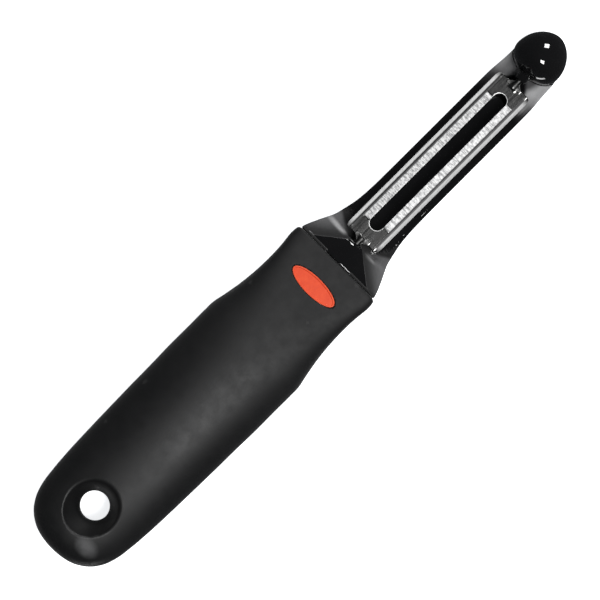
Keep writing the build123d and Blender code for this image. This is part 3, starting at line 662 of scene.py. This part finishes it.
def steel():
    """Blade steel: plate brushed lengthwise, lips ground across, rolled rims tumbled. Painted shade darkens the lips
    and rims on the -Y side, the inner edges and ends of the rims, the grooves beside the rims and the tangs; a painted
    highlight lightens the slot's edge.
    """
    m = Nodes("blade_steel")
    x, y, z = m.xyz()
    ay = m.math("ABSOLUTE", y)
    sign = m.step(y, -0.1, 0.1)
    over = m.step(z, PIVOT + 0.2, PIVOT + 0.3)
    spans = []
    for x0, x1, side in LIPS:
        span = m.product(m.step(x, x0 + 0.05, x0 + 0.3), m.step(x, x1 - 0.05, x1 - 0.3))
        spans.append(m.product(span, sign if side > 0 else m.math("SUBTRACT", 1.0, sign)))
    lip = m.product(m.sum(*spans), m.step(ay, 4.12, 4.04), over)
    rim = m.step(ay, 4.64, 4.76)
    # painted shade: a dark line in the groove between each lip and its rim
    groove_painted_shade = m.product(m.step(ay, 3.98, 4.06), m.step(ay, 4.78, 4.68), m.step(x, BX0 + 0.5, BX0 + 1.5),
                     m.step(x, BX1 - 0.5, BX1 - 1.5))
    along = m.product(m.step(x, 20.0, 23.4), m.step(x, 78.2, 75.2))
    tang = m.product(m.math("MAXIMUM", m.step(x, BX0 + 1.5, BX0 + 0.3), m.step(x, BX1 - 1.5, BX1 - 0.3)),
                     m.step(ay, 2.6, 1.6))
    # painted shade: lips and rims on the -Y side, the outer edge of every lip, and the rims near the blade's ends are
    # darkened
    side_painted_shade = m.math("SUBTRACT", 1.0, m.product(m.math("SUBTRACT", 1.0, sign), m.sum(m.product(lip, 0.20), m.product(rim, 0.27))))
    side_painted_shade = m.math("SUBTRACT", side_painted_shade, m.product(lip, m.step(ay, 3.84, 3.98), 0.5))
    side_painted_shade = m.math("SUBTRACT", side_painted_shade, m.product(rim, m.math("SUBTRACT", 1.0, along), 0.84))
    past = m.math("SUBTRACT", m.math("MAXIMUM", m.math("SUBTRACT", x, SX1 - SHW), 0.0),
                  m.math("MAXIMUM", m.math("SUBTRACT", SX0 + SHW, x), 0.0))
    ring = m.math("SQRT", m.sum(m.math("MULTIPLY", past, past), m.math("MULTIPLY", y, y)))
    slot = m.product(m.step(ring, SHW + 0.24, SHW + 0.10), over, m.math("SUBTRACT", 1.0, lip))
    line = m.noise(0.10, stretch=(60, 1, 1), detail=4, rough=0.65)
    broad = m.noise(0.7, stretch=(26, 1, 1), detail=3)
    cross = m.noise(0.13, stretch=(1, 34, 34), detail=3, rough=0.6)
    grind = m.noise(0.55, stretch=(1, 14, 14), detail=3, rough=0.6)
    stain = m.noise(6, detail=4, rough=0.6)
    tumble = m.noise(0.30, stretch=(5, 1, 1), detail=4, rough=0.7)
    plate = m.ramp(m.sum(m.product(line, 0.65), m.product(broad, 0.35)),
                   [(0.34, (0.085, 0.085, 0.084)), (0.66, (0.20, 0.199, 0.196))])
    plate = m.mixc(m.range(stain, 0.0, 0.20, 0.45, 0.8), plate, (0.09, 0.09, 0.092))
    mottle = m.noise(0.62, stretch=(1, 1.5, 1.5), detail=3, rough=0.65)
    ground = m.ramp(m.sum(m.product(cross, 0.36), m.product(grind, 0.22), m.product(mottle, 0.42)),
                    [(0.42, (0.30, 0.30, 0.305)), (0.50, (0.72, 0.72, 0.72)), (0.57, (1.0, 1.0, 0.995))])
    rolled = m.ramp(tumble, [(0.30, (0.80, 0.80, 0.795)), (0.70, (0.98, 0.98, 0.975))])
    # painted shade: each rim is darker on its inner edge, where the bend starts
    rolled = m.mixc(m.step(ay, 5.0, 4.7), rolled, m.ramp(tumble, [(0.30, (0.40, 0.40, 0.40)), (0.70, (0.52, 0.52, 0.515))]))
    col = m.mixc(1.0, m.mixc(lip, m.mixc(rim, plate, rolled), ground), m.ramp(side_painted_shade, [(0.0, (0, 0, 0)), (1.0, (1, 1, 1))]), "MULTIPLY")
    # painted highlight: a lighter band round the slot's edge
    col = m.mixc(slot, col, m.ramp(tumble, [(0.30, (0.62, 0.62, 0.62)), (0.70, (0.80, 0.80, 0.795))]))
    # painted shade: the steel tangs are darkened nearly to black
    col = m.mixc(m.product(tang, 0.95), col, m.ramp(tumble, [(0.30, (0.030, 0.030, 0.030)), (0.70, (0.055, 0.055, 0.054))]))
    # painted shade in the groove between lip and rim
    col = m.mixc(m.product(groove_painted_shade, 0.85), col, (0.020, 0.020, 0.021))
    r_plate = m.range(line, 0.12, 0.20, 0.3, 0.7)
    r_lip = m.range(cross, 0.60, 0.72, 0.3, 0.7)
    r_rim = m.range(tumble, 0.52, 0.64, 0.3, 0.7)
    rest = m.product(m.math("SUBTRACT", 1.0, lip), m.math("SUBTRACT", 1.0, rim))
    rough = m.sum(m.product(lip, r_lip), m.product(m.math("SUBTRACT", 1.0, lip), rim, r_rim),
                  m.product(rest, r_plate), m.product(tang, rest, 0.28), m.product(slot, rest, 0.35),
                  m.product(groove_painted_shade, rest, 0.30))
    height = m.sum(m.product(rest, line), m.product(lip, cross), m.product(rim, tumble, 0.5))
    metal = m.sum(rest, m.product(slot, rest, -0.5), m.product(lip, 0.7), m.product(rim, m.math("SUBTRACT", 1.0, lip), m.range(m.step(ay, 4.7, 5.2), 0.7, 0.35)))
    m.set(Base_Color=col, Metallic=metal, Roughness=rough)
    m.set(Normal=m.bump(height, 0.004, 0.7))
    return m.mat


def badge_plastic():
    """Orange-red inlay: satin, slightly cloudy pigment, lighter rubbed border."""
    m = Nodes("badge_plastic")
    d = m.noise(0.5, detail=4, rough=0.6)
    c = m.noise(2.2, detail=4, rough=0.6, distortion=0.6)
    col = m.ramp(c, [(0.30, (0.62, 0.048, 0.009)), (0.55, (0.68, 0.060, 0.012)), (0.8, (0.73, 0.078, 0.018))])
    col = m.mixc(m.range(d, 0.0, 0.3, 0.5, 0.8), col, (0.75, 0.10, 0.030))
    col = m.mixc(m.math("MULTIPLY", m.edge(0.52, 0.58), 0.5), col, (0.80, 0.20, 0.11))
    m.set(Base_Color=col, Roughness=m.range(d, 0.54, 0.66, 0.3, 0.7), Normal=m.bump(d, 0.012, 0.6))
    m.set(Specular_IOR_Level=0.34)
    return m.mat


def floor_paper():
    m = Nodes("floor_paper")
    n = m.noise(2.5, detail=5, rough=0.6)
    m.set(Base_Color=m.ramp(n, [(0.3, (0.90, 0.90, 0.90)), (0.8, (0.93, 0.93, 0.93))]), Roughness=0.9,
          Specular_IOR_Level=0.1, Normal=m.bump(n, 0.01, 0.2))
    m.set(Emission_Color=(0.97, 0.985, 1.0), Emission_Strength=0.85)
    return m.mat


# ------------------------------------------------------------------ pieces
M_GRIP, M_HEAD, M_CORE, M_BADGE = soft_touch(), gloss_black(), core_plastic(), badge_plastic()
M_STEEL = steel()

grip = skin("grip_skin", grip_form, (-96.2, -17.1, -0.9), (12.3, 17.1, 20.3), (0.45, 0.45, 0.45))
grip.data.materials.append(M_GRIP)
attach(grip, "handle")
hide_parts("grip")

badge = skin("badge_inlay", badge_form, (-0.5, -8.0, 15.6), (5.8, 8.0, 18.6), (0.12, 0.16, 0.10))
badge.data.materials.append(M_BADGE)
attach(badge, "handle")
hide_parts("badge")

head = skin("head_moulding", head_form, (10.9, -14.3, -0.7), (96.0, 14.3, 18.6), (0.32, 0.30, 0.30))
head.data.materials.append(M_HEAD)
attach(head, "handle")
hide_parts("head_frame")

blade = skin("blade_steel", blade_form, (13.1, -6.3, 8.6), (86.3, 6.3, 12.1), (0.22, 0.12, 0.10))
blade.data.materials.append(M_STEEL)
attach(blade, "blade")
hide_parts("blade")

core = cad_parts["handle_core"]
core.data.materials.clear()
core.data.materials.append(M_CORE)

# ------------------------------------------------------------------ floor, light, camera
me = bpy.data.meshes.new("floor")
me.from_pydata([(-3, -3, 0), (3, -3, 0), (3, 3, 0), (-3, 3, 0)], [], [(0, 1, 2, 3)])
floor = bpy.data.objects.new("floor", me)
bpy.context.scene.collection.objects.link(floor)
floor.location.z = -0.0002
floor.data.materials.append(floor_paper())
floor.visible_glossy = False      # the tool's gloss mirrors the dark studio, as in the photograph


def area(name, direction, distance, size, power, target=(0.0, 0.0, 0.01), spin=0.0, along=None):
    d = Vector(direction).normalized()
    light = bpy.data.lights.new(name, "AREA")
    light.shape = "RECTANGLE"
    light.size, light.size_y = size
    light.energy = power
    ob = bpy.data.objects.new(name, light)
    bpy.context.scene.collection.objects.link(ob)
    ob.location = Vector(target) + d * distance
    if along is None:
        turn = d.to_track_quat("Z", "Y").to_matrix() @ Matrix.Rotation(spin, 3, "Z")
    else:
        side = (Vector(along) - d * Vector(along).dot(d)).normalized()
        turn = Matrix((side, d.cross(side), d)).transposed()
    ob.rotation_euler = turn.to_euler()
    return ob


area("key", (0.0538, -0.3072, 0.9501), 1.6, (0.5, 0.5), 23, spin=0.3)
area("rim", (0.8322, 0.2353, 0.5020), 1.6, (0.42, 0.42), 14, spin=0.3)
area("low", (-0.735, -0.500, -0.457), 0.9, (0.56, 0.12), 1.5, target=(0.083, -0.003, 0.0147),
     along=(0.177, -0.517, 0.286))

world = bpy.data.worlds.new("studio")
bpy.context.scene.world = world
world.use_nodes = True
bg = world.node_tree.nodes["Background"]
bg.inputs["Color"].default_value = (0.9, 0.95, 1.0, 1)
bg.inputs["Strength"].default_value = 0.06

# straight down on the tool, leaning half a degree towards its right side
AIM = Vector((-0.00235, 0.00006, 0.010))
LEAN = math.radians(0.5)
DIST = 0.65
back = Vector((0, -math.sin(LEAN), math.cos(LEAN)))
cam_data = bpy.data.cameras.new("camera")
cam_data.sensor_width = 36
cam_data.lens = 36 * DIST / 0.15858
cam = bpy.data.objects.new("camera", cam_data)
bpy.context.scene.collection.objects.link(cam)
bpy.context.scene.camera = cam
cam.location = AIM + back * DIST
up = Vector((1, 1, 0)).normalized()
right = up.cross(back).normalized()
up = back.cross(right).normalized()
cam.matrix_world = Matrix(((right.x, up.x, back.x, cam.location.x),
                           (right.y, up.y, back.y, cam.location.y),
                           (right.z, up.z, back.z, cam.location.z), (0, 0, 0, 1)))
bpy.context.scene.view_settings.view_transform = "Standard"
